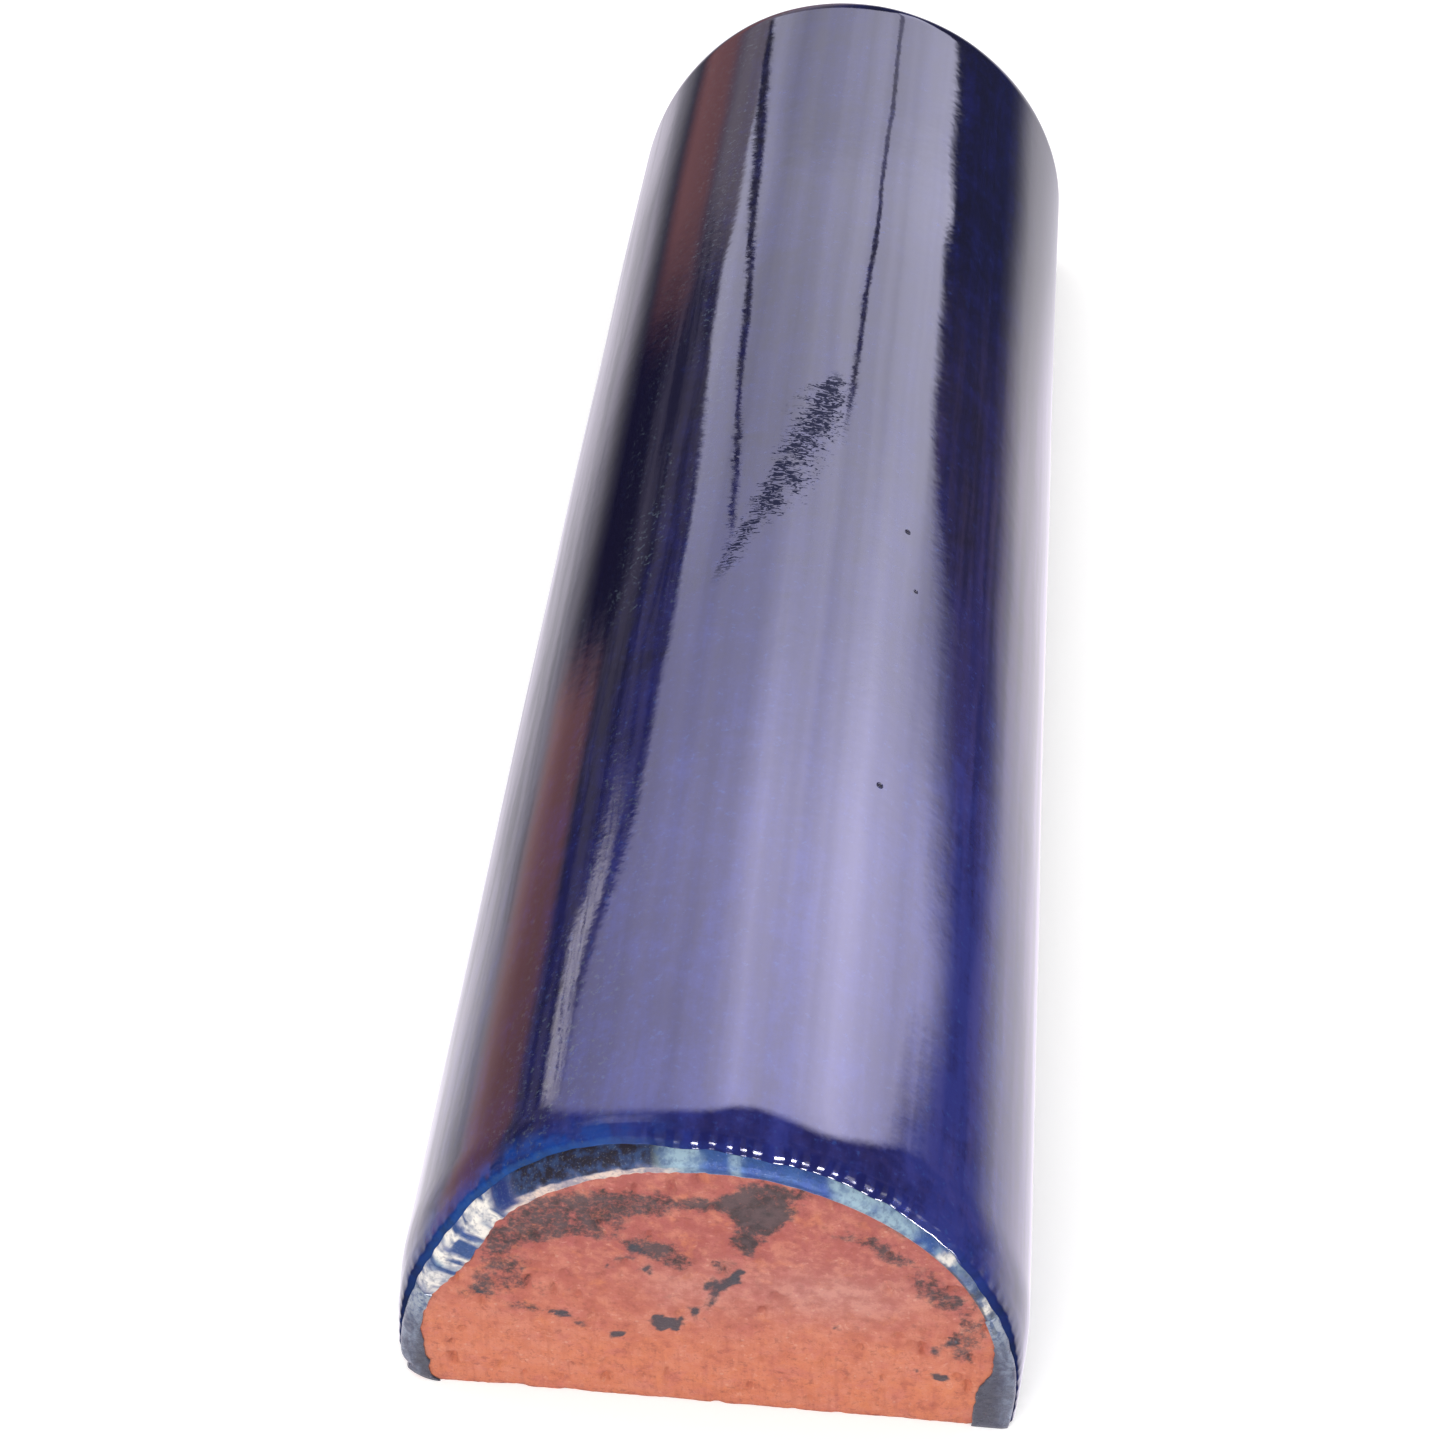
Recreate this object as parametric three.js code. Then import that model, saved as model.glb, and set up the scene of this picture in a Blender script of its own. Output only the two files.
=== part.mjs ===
// Half-round glazed terracotta trim bar.
//
// A solid clay bar with a flat underside and a rounded back. The back carries a
// thin light base coat and a cobalt glaze over it. The clay is bare on both end
// faces and on the underside. The glaze stops short of both end faces, leaving
// a lip of base coat. At the two near corners a bead of glaze covers that lip.
//
// Frame: millimetres, +Z up, length along Y with the near end at -Y and the
// right side at +X. The origin is the centre of the underside.

import * as THREE from 'three';

// ---- driving dimensions, mm ------------------------------------------------
const LENGTH = 150;
const WIDTH = 46;              // overall, at the foot
const HEIGHT = 30;             // crown above the underside
const FOOT_HEIGHT = 5.6;       // straight vertical foot below the arch
const BASE_COAT = 0.3;         // thickness of the light base coat
const GLAZE = 0.5;             // thickness of the cobalt glaze
const NEAR_SETBACK = 0.95;     // length of the base coat lip at the near end
const FAR_SETBACK = 0.3;       // and at the far end
const ARCH_SEGMENTS = 44;      // facets round the arch

// Rounding of the ends: its length along the bar, and how far it pulls the
// back in at the end face.
const NEAR_ARRIS = { length: 5, depth: 1.8 };
const FAR_ARRIS = { length: 2.4, depth: 1.2 };
const FOOT_ARRIS_SHARE = 0.42; // share of the rounding that is left at the feet
const ARRIS_GROWTH_START = 0.5; // height from which that share grows
const FULL_ARRIS_HEIGHT = 13;  // height from which the rounding is complete

const BEAD_FACETS = 5;         // facets of the arch that each bead climbs
const BEAD_END_SHARE = 0.25;   // share of the glaze thickness left at the end face

const NEAR = -LENGTH / 2;
const FAR = LENGTH / 2;
const CLAY_DEPTH = GLAZE + BASE_COAT; // clay surface below the outer surface
const GLAZE_START = NEAR + NEAR_SETBACK;
const GLAZE_END = FAR - FAR_SETBACK;

// Stations along the length, as distances from each end and, for the two in
// the middle, from the centre. All layers share them, so that each layer's
// inner skin is exactly the outer skin of the layer below it.
const NEAR_STEPS = [0, 0.2, 0.5, NEAR_SETBACK, 1.8, 3.2, NEAR_ARRIS.length];
const MIDDLE_OFFSET = 25;
const FAR_STEPS = [FAR_ARRIS.length, 1.2, 0.7, FAR_SETBACK, 0.1, 0];
const STATIONS = [
  ...NEAR_STEPS.map((step) => NEAR + step),
  -MIDDLE_OFFSET,
  MIDDLE_OFFSET,
  ...FAR_STEPS.map((step) => FAR - step),
];
const STATION_TOLERANCE = 1e-6;
const POINT_TOLERANCE = 1e-3;  // extruded points are stored in single precision

const FINISHES = {
  terracotta: { color: 0xb5624b, roughness: 0.95 },
  lightBase: { color: 0xb9cbe0, roughness: 0.45 },
  cobalt: { color: 0x141a78, roughness: 0.12 },
  pooledGlaze: { color: 0x3d4c70, roughness: 0.2 },
};

// ---- rounding --------------------------------------------------------------
// Height of a unit quarter circle: 1 at t = 0, falling to 0 at t = 1.
const quarterRound = (t) => Math.sqrt(Math.max(0, 1 - t * t));

// How far an arris pulls the section in at a distance from its end face.
function arrisInset({ length, depth }, distance) {
  const t = Math.max(0, (length - distance) / length);
  return depth * (1 - quarterRound(t));
}

// Places a section point at station y, pulled in by the arrises. The rounding
// is slighter towards the feet.
function placeOnBar(point, y) {
  const growth = THREE.MathUtils.smoothstep(point.y, ARRIS_GROWTH_START, FULL_ARRIS_HEIGHT);
  const share = FOOT_ARRIS_SHARE + (1 - FOOT_ARRIS_SHARE) * growth;
  const inset = share * Math.max(
    arrisInset(NEAR_ARRIS, y - NEAR),
    arrisInset(FAR_ARRIS, FAR - y),
  );
  return [point.x * (1 - inset / (WIDTH / 2)), y, point.y * (1 - inset / HEIGHT)];
}

// ---- sections: x is across, y is up ----------------------------------------
// The arch at a depth below the outer surface, from the right foot over the
// crown to the left foot.
function arch(depth) {
  const halfWidth = WIDTH / 2 - depth;
  const rise = HEIGHT - FOOT_HEIGHT - depth;
  const curve = new THREE.EllipseCurve(0, FOOT_HEIGHT, halfWidth, rise, 0, Math.PI);
  return [
    new THREE.Vector2(halfWidth, 0),
    ...curve.getPoints(ARCH_SEGMENTS),
    new THREE.Vector2(-halfWidth, 0),
  ];
}

// The closed band between two skins.
const band = (outer, inner) => [...outer, ...[...inner].reverse()];

// Extrudes a section between two stations and rounds its ends. A mirrored layer
// is extruded from the other end and its faces are turned back round, which
// keeps the facets of two touching skins identical. The reshape function moves
// a section point before the rounding.
function bar(section, {
  from = NEAR, to = FAR, mirrored = false, reshape = (point) => point,
} = {}) {
  const stations = STATIONS.filter(
    (y) => y >= from - STATION_TOLERANCE && y <= to + STATION_TOLERANCE,
  );
  if (!mirrored) stations.reverse();
  const steps = stations.length - 1;
  // One unit of depth per step, so that z counts the stations.
  const geometry = new THREE.ExtrudeGeometry(new THREE.Shape(section), {
    depth: steps, steps, bevelEnabled: false,
  });
  const position = geometry.attributes.position;
  for (let i = 0; i < position.count; i += 1) {
    const y = stations[Math.round(position.getZ(i))];
    const point = reshape(new THREE.Vector2(position.getX(i), position.getY(i)), y);
    position.setXYZ(i, ...placeOnBar(point, y));
  }
  if (mirrored) {
    const turned = [];
    for (let i = 0; i < position.count; i += 3) turned.push(i, i + 2, i + 1);
    geometry.setIndex(turned);
  }
  geometry.computeVertexNormals();
  return geometry;
}

// ---- pieces ----------------------------------------------------------------
const clayBody = () => bar(arch(CLAY_DEPTH));

const baseCoat = () => bar(band(arch(GLAZE), arch(CLAY_DEPTH)), { mirrored: true });

const glaze = () => bar(band(arch(0), arch(GLAZE)), { from: GLAZE_START, to: GLAZE_END });

// The bead over the lip at a near corner. It lies on the base coat, its back
// rests on the end of the glaze, and its outer side rounds down towards the
// end face.
function cornerBead(isRight) {
  const count = BEAD_FACETS + 2; // the ends of the facets, and the foot's bottom
  const corner = (points) => (isRight ? points.slice(0, count) : points.slice(-count));
  const outer = corner(arch(0));
  const inner = corner(arch(GLAZE));
  const taper = (point, y) => {
    const i = outer.findIndex((other) => other.distanceTo(point) < POINT_TOLERANCE);
    if (i < 0) return point;
    const rounding = quarterRound((GLAZE_START - y) / NEAR_SETBACK);
    const share = BEAD_END_SHARE + (1 - BEAD_END_SHARE) * rounding;
    return inner[i].clone().lerp(outer[i], share);
  };
  return bar(band(outer, inner), { to: GLAZE_START, reshape: taper });
}

function piece(name, geometry, finish) {
  const material = new THREE.MeshStandardMaterial({ ...finish, metalness: 0 });
  const mesh = new THREE.Mesh(geometry, material);
  mesh.name = name;
  return mesh;
}

const group = new THREE.Group();
group.name = 'half_round_trim';
group.add(
  piece('clay_body', clayBody(), FINISHES.terracotta),
  piece('light_base_coat', baseCoat(), FINISHES.lightBase),
  piece('cobalt_glaze', glaze(), FINISHES.cobalt),
  piece('left_corner_glaze_bead', cornerBead(false), FINISHES.pooledGlaze),
  piece('right_corner_glaze_bead', cornerBead(true), FINISHES.pooledGlaze),
);

export default group;
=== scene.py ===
# A terracotta bar with an arched section and a flat underside. A light base coat and a cobalt
# glaze cover the arch, and glaze has pooled in both corners of the near end.
# The bar lies along Y with its near end at low Y, right is +X, and it stands on z = 0.
# Lengths are in millimetres until a mesh is made.
import math

import bpy
import numpy as np
from mathutils import Matrix, Vector


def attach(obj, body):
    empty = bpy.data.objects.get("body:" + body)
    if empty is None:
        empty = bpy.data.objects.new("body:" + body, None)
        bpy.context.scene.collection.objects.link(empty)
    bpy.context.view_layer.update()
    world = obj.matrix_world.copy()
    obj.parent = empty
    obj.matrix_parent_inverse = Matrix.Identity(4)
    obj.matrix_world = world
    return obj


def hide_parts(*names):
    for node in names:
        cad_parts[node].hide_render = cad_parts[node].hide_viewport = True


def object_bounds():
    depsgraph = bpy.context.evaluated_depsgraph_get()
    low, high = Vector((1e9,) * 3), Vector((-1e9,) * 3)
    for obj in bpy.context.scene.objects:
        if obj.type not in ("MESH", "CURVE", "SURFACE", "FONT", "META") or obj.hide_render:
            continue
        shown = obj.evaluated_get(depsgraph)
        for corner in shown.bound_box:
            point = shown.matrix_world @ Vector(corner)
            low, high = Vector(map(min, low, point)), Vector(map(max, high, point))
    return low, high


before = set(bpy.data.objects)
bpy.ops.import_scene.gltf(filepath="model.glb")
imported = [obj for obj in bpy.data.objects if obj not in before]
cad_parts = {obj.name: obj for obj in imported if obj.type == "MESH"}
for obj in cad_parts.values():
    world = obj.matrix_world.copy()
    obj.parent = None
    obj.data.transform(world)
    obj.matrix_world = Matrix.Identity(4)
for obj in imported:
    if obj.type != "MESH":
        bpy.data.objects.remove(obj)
cad_lo, cad_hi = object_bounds()

MM = 0.001
WIDTH = (cad_hi.x - cad_lo.x) / MM
LENGTH = (cad_hi.y - cad_lo.y) / MM
HEIGHT = (cad_hi.z - cad_lo.z) / MM
HALF = WIDTH / 2
NEAR_Y = cad_lo.y / MM
FOOT = 5.6                              # height of the straight foot below the arch
GLAZE, COAT = 0.5, 0.3                  # thickness of the two coats
CLAY_DEPTH = GLAZE + COAT               # the clay lies below both
NEAR_ARRIS_RUN, NEAR_ARRIS_DEPTH = 5.0, 1.8     # run along Y and depth of the rounding
FAR_ARRIS_RUN, FAR_ARRIS_DEPTH = 2.4, 1.2
RECESS = 0.14                           # bare clay lies this far behind the end plane
FILM = 0.05                             # and the base coat on the end face this far

# ---------------------------------------------------------------- noise ----
random = np.random.RandomState(4107)
SHUFFLE = np.concatenate([random.permutation(256)] * 3)
LATTICE = random.uniform(-1.0, 1.0, 256)


def noise(x, y, z, seed=0):
    """Smooth value noise in three dimensions, from -1 to 1."""
    points = np.stack(np.broadcast_arrays(x, y, z)).astype(float)
    cells = np.floor(points).astype(int)
    part = points - cells
    ease = part * part * part * (part * (part * 6 - 15) + 10)
    total = 0.0
    for corner in np.ndindex(2, 2, 2):
        weight_x, weight_y, weight_z = (e if far else 1 - e for e, far in zip(ease, corner))
        cell_x, cell_y, cell_z = (cell + far for cell, far in zip(cells, corner))
        key = SHUFFLE[(cell_x + seed * 17) & 255]
        key = SHUFFLE[(key + cell_y) & 255]
        key = SHUFFLE[(key + cell_z) & 255]
        total = total + weight_x * weight_y * weight_z * LATTICE[key]
    return total


def fractal(x, y, z, seed, octaves=3):
    """Octaves of noise, each twice as fine and half as strong."""
    total, strength, whole = 0.0, 1.0, 0.0
    for k in range(octaves):
        f = 2.0 ** k
        total = total + strength * noise(x * f, y * f, z * f, seed + 5 * k)
        whole += strength
        strength *= 0.5
    return total / whole


def face_noise(x, z, scale, level, seed, octaves=3):
    """Noise over an end face; level picks the slice through it."""
    return fractal(x * scale, z * scale, level, seed, octaves)


def smooth(start, end, value):
    """Eased step from 0 at start to 1 at end."""
    t = np.clip((np.asarray(value, float) - start) / (end - start), 0.0, 1.0)
    return t * t * (3 - 2 * t)


def round_edge(distance, radius):
    """Share of the full thickness at a distance from a rounded edge."""
    t = np.clip(1 - distance / radius, 0, 1)
    return np.sqrt(np.maximum(1 - t * t, 0))


# ------------------------------------------------------------- the section --
ARCH_STEPS, FOOT_STEPS = 236, 18
ANGLES = np.linspace(0.0, math.pi, ARCH_STEPS + 1)
FOOT_Z = np.linspace(0.0, FOOT, FOOT_STEPS, endpoint=False)
# Each section point, right foot to left foot, is x = SIDE * half width, z = BASE + RISE * crown.
SIDE = np.concatenate([np.ones(FOOT_STEPS), np.cos(ANGLES), -np.ones(FOOT_STEPS)])
BASE = np.concatenate([FOOT_Z, np.full(ARCH_STEPS + 1, FOOT), FOOT_Z[::-1]])
RISE = np.concatenate([np.zeros(FOOT_STEPS), np.sin(ANGLES), np.zeros(FOOT_STEPS)])


def arch(depth):
    """x and z of the section at a depth below the outer skin (a number or one per point)."""
    return (HALF - depth) * SIDE, BASE + (HEIGHT - FOOT - depth) * RISE


skin_x, skin_z = arch(0.0)
ARC = np.concatenate([[0.0], np.cumsum(np.hypot(np.diff(skin_x), np.diff(skin_z)))])
ARC_END = ARC[-1]                       # ARC is the length over the arch from the right foot


def arris(along):
    """How far the rounded arrises pull the section in, at a distance from the near end."""
    along = np.asarray(along, float)
    near = np.clip((NEAR_ARRIS_RUN - along) / NEAR_ARRIS_RUN, 0, 1)
    far = np.clip((FAR_ARRIS_RUN - (LENGTH - along)) / FAR_ARRIS_RUN, 0, 1)
    return np.maximum(NEAR_ARRIS_DEPTH * (1 - np.sqrt(1 - near * near)),
                      FAR_ARRIS_DEPTH * (1 - np.sqrt(1 - far * far)))


def arris_share(z):
    """The arrises fade towards the feet."""
    return 0.42 + 0.58 * smooth(0.5, 13.0, z)


# Rounding of the foot corners: side, radius in x, radius in z, run from the near end.
FOOT_CORNERS = ((-1, 2.9, 3.5, 15.0), (1, 0.4, 0.4, 6.0))


def place(x, along, z):
    """Points of the bar from section x, z and distance from the near end, shaped."""
    x, along, z = np.broadcast_arrays(x, along, z)
    pull = arris(along) * arris_share(z)
    px = x * (1 - pull / HALF)
    pz = z * (1 - pull / HEIGHT)
    for side, radius_x, radius_z, run in FOOT_CORNERS:
        fade = np.maximum(smooth(run, 0.0, along), 0.04)
        rx, rz = radius_x * fade, radius_z * fade
        u = (rx - ((HALF - pull) - side * px)) / rx
        v = (rz - pz) / rz
        inside = (u > 0) & (v > 0)
        safe_u, safe_v = np.where(inside, u, 1.0), np.where(inside, v, 1.0)
        shrink = np.maximum(safe_u, safe_v) / np.hypot(safe_u, safe_v)
        px = np.where(inside, side * ((HALF - pull) - rx + u * shrink * rx), px)
        pz = np.where(inside, rz - v * shrink * rz, pz)
    # taper, sideways bow, lean and swell along the length
    share = np.clip(along / LENGTH, 0, 1)
    bow = 4 * share * (1 - share)
    up = np.clip(pz / HEIGHT, 0, 1)
    bent_x = px * (1 - 0.0075 * share) - 0.33 * bow * (0.4 + 0.6 * up) + 2.36 * up * (1 - up)
    bent_z = pz * (1 + 0.0285 * share) + 0.30 * bow * up
    return np.stack([bent_x, along + NEAR_Y, bent_z], -1)


def grid_normals(points):
    """Unit normals of a grid of points, turned away from the bar's axis."""
    normals = np.cross(np.gradient(points, axis=1), np.gradient(points, axis=0))
    normals /= np.linalg.norm(normals, axis=-1, keepdims=True) + 1e-12
    from_axis = points * [1, 0, 1] - [0, 0, 8]
    return normals if np.sum(normals * from_axis) >= 0 else -normals


# ------------------------------------------------------------ mesh helpers --
REVERSED = (0, 3, 2, 1)                 # same first corner, facing the other way


def quads(ids, order=(0, 1, 2, 3)):
    """Quads of a grid of vertex numbers, their corners in the given order."""
    corners = [ids[:-1, :-1], ids[:-1, 1:], ids[1:, 1:], ids[1:, :-1]]
    return np.stack(corners, -1).reshape(-1, 4)[:, order]


def channels(*values):
    return np.stack(np.broadcast_arrays(*values), -1)


def make_mesh(name, points, faces, paint):
    mesh = bpy.data.meshes.new(name)
    mesh.from_pydata((points * MM).tolist(), [], faces.tolist())
    mesh.validate()
    mesh.update()
    mesh.polygons.foreach_set("use_smooth", np.ones(len(mesh.polygons), bool))
    colours = np.ones((len(points), 4), np.float32)
    colours[:, :3] = paint
    attribute = mesh.color_attributes.new(name="paint", type="FLOAT_COLOR", domain="POINT")
    attribute.data.foreach_set("color", colours.ravel())
    ob = bpy.data.objects.new(name, mesh)
    bpy.context.scene.collection.objects.link(ob)
    return ob


def shell(name, outer, inner, paint):
    """A closed skin between two grids; rows run near to far, columns right foot to left."""
    rows, columns = outer.shape[:2]
    out = np.arange(rows * columns).reshape(rows, columns)
    inn = out + rows * columns
    faces = np.concatenate([
        quads(out, REVERSED),
        quads(inn),
        quads(np.array([out[0], inn[0]])),
        quads(np.array([out[-1], inn[-1]]), (1, 0, 3, 2)),
        quads(np.array([out[:, 0], inn[:, 0]]), (1, 0, 3, 2)),
        quads(np.array([out[:, -1], inn[:, -1]]))])
    points = np.concatenate([outer.reshape(-1, 3), inner.reshape(-1, 3)])
    return make_mesh(name, points, faces, np.tile(paint.reshape(-1, 3), (2, 1)))


def keep_above_ground(points):
    points[..., 2] = np.maximum(points[..., 2], 0.0)


# --------------------------------------------------- where the coats stop --
def interpolate(position, table):
    return np.interp(position, *zip(*table))


# Arc length, distance from the near end at which the cobalt stops.
COBALT_TABLE = (
    (0, 0.35), (8, 0.35), (13, 0.36), (18, 0.40), (22, 0.52), (26, 0.66), (30, 0.82), (35, 0.90),
    (40, 0.9), (44, 1.0), (47, 1.25), (50, 1.45), (54, 1.5), (58, 1.30), (62, 1.0), (66, 0.6),
    (70, 0.6), (74, 0.8), (79, 0.9), (ARC_END, 0.9))
# Arc length, distance in from the outer skin at which the bare clay of the near face begins.
CLAY_TABLE = (
    (0, 3.5), (1.2, 3.5), (3, 3.5), (5, 3.4), (7.5, 2.8), (12, 2.1), (16, 2.0), (19, 1.95),
    (23, 1.95), (27, 2.05), (31, 2.3), (36, 2.4), (41, 2.5), (45, 2.7), (50, 2.8), (55, 2.9),
    (59, 3.1), (62, 3.2), (65, 3.8), (68, 4.0), (71, 3.5), (74, 2.5), (78, 2.3),
    (ARC_END - 5.0, 2.3), (ARC_END - 3.6, 2.4), (ARC_END - 2.4, 2.5), (ARC_END - 1.3, 2.7),
    (ARC_END - 0.6, 3.0), (ARC_END, 3.6))

cobalt_stop = interpolate(ARC, COBALT_TABLE) + 0.12 * fractal(ARC * 0.45, 0, 3.1, seed=1)
cobalt_stop = np.maximum(0.3, cobalt_stop + 0.05 * noise(ARC * 0.9, 0, 0, seed=9))
far_stop = 0.24 + 0.10 * fractal(ARC * 0.3, 4.0, 1.0, seed=2)
clay_in = interpolate(ARC, CLAY_TABLE) + 0.20 * fractal(ARC * 0.4, 7.0, 0.4, seed=4)
clay_in = np.maximum(1.98, clay_in + 0.09 * noise(ARC * 1.9, 2.0, 0, seed=6))
# the same edge as a depth of the section, before the arris pulls it in
lip_depth = np.maximum(clay_in - float(arris(FILM)) * arris_share(skin_z), CLAY_DEPTH + 0.05)

# ------------------------------------------------------------ cobalt glaze --
# Distances of the glaze's rows from the near end, then from the far end.
GLAZE_ROWS = np.concatenate([
    [0, 0.03, 0.08, 0.15, 0.24, 0.34, 0.46, 0.6, 0.78, 1.0,
     1.25, 1.55, 1.9, 2.3, 2.75, 3.2, 3.7, 4.2, 4.8, 5.5],
    np.linspace(6.2, LENGTH - 8.0, 168),
    LENGTH - np.array([7.3, 6.6, 5.9, 5.3, 4.7, 4.2, 3.7, 3.2, 2.7, 2.25, 1.85,
                       1.5, 1.2, 0.95, 0.7, 0.5, 0.34, 0.22, 0.12, 0.05, 0.0])])
STOP_BLEND = 6.0                        # rows this close to an end follow the glaze's edge


def build_glaze():
    rows = GLAZE_ROWS[:, None]
    along = (rows + cobalt_stop * np.clip(1 - rows / STOP_BLEND, 0, 1)
             - far_stop * np.clip(1 - (LENGTH - rows) / STOP_BLEND, 0, 1))
    from_near = along - cobalt_stop     # distances from the glaze's own edges
    from_far = (LENGTH - far_stop) - along

    # rounded edges, a slight ridge behind the near one, and beads along it
    thick = GLAZE * np.minimum(round_edge(from_near, 0.30), round_edge(from_far, 0.5))
    thick *= 1 + 0.10 * np.exp(-((from_near - 0.75) / 0.5) ** 2)
    thick = np.minimum(thick, GLAZE * 1.06)
    phase = ARC / 1.35 + 0.35 * noise(ARC * 0.5, 0.3, 0, seed=8)
    beads = 0.5 + 0.5 * np.sin(2 * math.pi * phase)
    thick *= 1 - 0.20 * (1 - beads) * np.exp(-(from_near / 0.45) ** 2)

    outer_x, outer_z = arch(GLAZE - thick)
    outer = place(outer_x, along, outer_z)
    inner_x, inner_z = arch(GLAZE)
    inner = place(inner_x, along, inner_z)

    # slow waves in the fired glaze
    x, y, z = np.moveaxis(outer, -1, 0)
    wave = 0.045 * noise(x / 10, y / 19, z / 10, seed=11)
    wave += 0.014 * noise(x / 4.0, y / 11.0, z / 4.0, seed=12)
    wave += 0.0035 * noise(ARC / 1.8, y / 3.4, 0.3, seed=13)
    wave += 0.03 * np.exp(-((from_near - 4.5) / 2.2) ** 2) * noise(ARC / 7.0, 0, 0, seed=15)
    wave *= smooth(0.0, 1.0, from_near) * smooth(0.0, 1.0, from_far)
    wave -= 0.045 * smooth(0.0, 1.5, from_near)     # stays inside the section's own box
    outer = outer + grid_normals(outer) * wave[..., None]
    keep_above_ground(outer)
    # paint: distance from the near edge / 10, share of the arc, share of the length
    paint = channels(np.clip(from_near / 10, 0, 1), ARC / ARC_END, np.clip(along / LENGTH, 0, 1))
    return shell("cobalt_glaze_coat", outer, inner, paint)


# --------------------------------------------------------- light base coat --
# Shares of the way in over the near face, then distances of the rows along the bar.
FACE_SHARES = np.array([1.0, 0.97, 0.9, 0.8, 0.68, 0.55, 0.42, 0.3, 0.18, 0.08])
COAT_ROWS = np.concatenate([
    [FILM, 0.09, 0.15, 0.24, 0.34, 0.48, 0.64, 0.82, 1.0,
     1.2, 1.45, 1.7, 2.0, 2.4, 3.0, 4.0, 5.0],
    np.linspace(12, LENGTH - 12, 12),
    LENGTH - np.array([5.0, 4.0, 3.0, 2.4, 2.0, 1.6, 1.2, 0.9, 0.6, 0.35, 0.15, 0.0])])

CREAM = np.array([0.78, 0.74, 0.68])
PALE = np.array([0.26, 0.37, 0.45])
SKY = np.array([0.030, 0.080, 0.25])
DEEP = np.array([0.010, 0.026, 0.14])
BROWN = np.array([0.014, 0.011, 0.018])
GREY = np.array([0.11, 0.13, 0.17])
RUDDY_CREAM = CREAM * np.array([0.85, 0.72, 0.68])
FOOT_BROWN = np.array([0.075, 0.060, 0.064])
FAR_OLIVE = np.array([0.10, 0.085, 0.05])
# Arc length, paleness of the lip.
PALENESS = (
    (0, 0.6), (14, 0.7), (20, 0.55), (24, 0.5), (27, 0.7), (29, 0.95), (31, 1.0), (33.5, 0.65),
    (35.0, 0.02), (39, 0.05), (40.5, 0.6), (42, 0.35), (44, 0.85), (45.5, 0.9), (47, 0.25),
    (58, 0.25), (62, 0.5), (ARC_END, 0.5))


def band(start, end, soft):
    """A stretch of the arc with soft ends."""
    rise = smooth(start - soft, start + soft, ARC)
    return rise * (1 - smooth(end - soft, end + soft, ARC))


def coat_paint(points, across):
    """Colours of the lip; across runs from 0 at the cobalt to 1 at the inner edge."""
    x, y, z = np.moveaxis(points, -1, 0)
    streak = noise(ARC * 0.9, y * 0.5 + z * 0.3, 0, seed=31)
    fine = fractal(x * 1.3, y * 1.3, z * 1.3, seed=33)
    blotch = fractal(ARC * 0.75, y * 0.8 + 0.35 * z, 0.6, seed=38)
    paleness = interpolate(ARC, PALENESS)
    low_right = 1 - smooth(17.0, 23.0, ARC)
    cream_noise = noise(ARC * 0.8, 0.2, 0, seed=35) + 0.4 * fine + 0.25
    sky_noise = noise(ARC * 1.5, across * 1.2, 0, seed=37) + 0.4 * fine
    foot_noise = noise(ARC * 1.1, y * 1.5, 0, seed=39) + 0.3 * fine
    # colour laid on, and the share it covers, in painting order
    layers = (
        (PALE, smooth(0.45, 0.75, paleness + 0.55 * blotch + 0.15 * streak)),
        (DEEP * 1.6, smooth(0.12, 0.45, -blotch - 0.4 * paleness + 0.3) * 0.55),
        (PALE * 1.25, smooth(0.86, 0.97, across + 0.08 * fine) * 0.75),
        (CREAM, band(58.5, 73.5, 1.0) * smooth(-0.75, -0.1, cream_noise)),
        (SKY * 0.8, band(60, 73, 1.0) * smooth(0.25, 0.6, sky_noise)),
        (RUDDY_CREAM, band(45.0, 59.5, 1.2) * smooth(0.46, 0.62, across + 0.18 * fine)),
        (BROWN, band(45.8, 58.5, 1.0) * smooth(0.60, 0.44, across + 0.16 * fine)),
        (DEEP, band(58.2, 60.6, 0.6) * smooth(0.95, 0.7, across + 0.2 * fine)),
        (GREY * 1.6, low_right * 0.9),
        (GREY * 0.45, low_right * smooth(-0.15, 0.3, fine + 0.3 * streak)),
        (CREAM * 0.9, band(12.0, 24.0, 2.0) * smooth(0.25, 0.5, foot_noise)),
        (FOOT_BROWN, (1 - smooth(20.0, 27.0, ARC)) * smooth(4.0, 6.5, ARC)
         * smooth(0.55, 0.8, across + 0.25 * fine) * 0.9),
        (GREY * 0.6, smooth(73.0, 75.5, ARC) * 0.9),
        (FAR_OLIVE, smooth(LENGTH - 6.0, LENGTH - 3.0, y - NEAR_Y)
         * smooth(-0.5, 0.2, fine + 0.2)))
    colour = np.broadcast_to(SKY, points.shape)
    for layer, share in layers:
        share = np.clip(share, 0, 1)[..., None]
        colour = colour * (1 - share) + layer * share
    return np.clip(colour, 0, 1)


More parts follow.
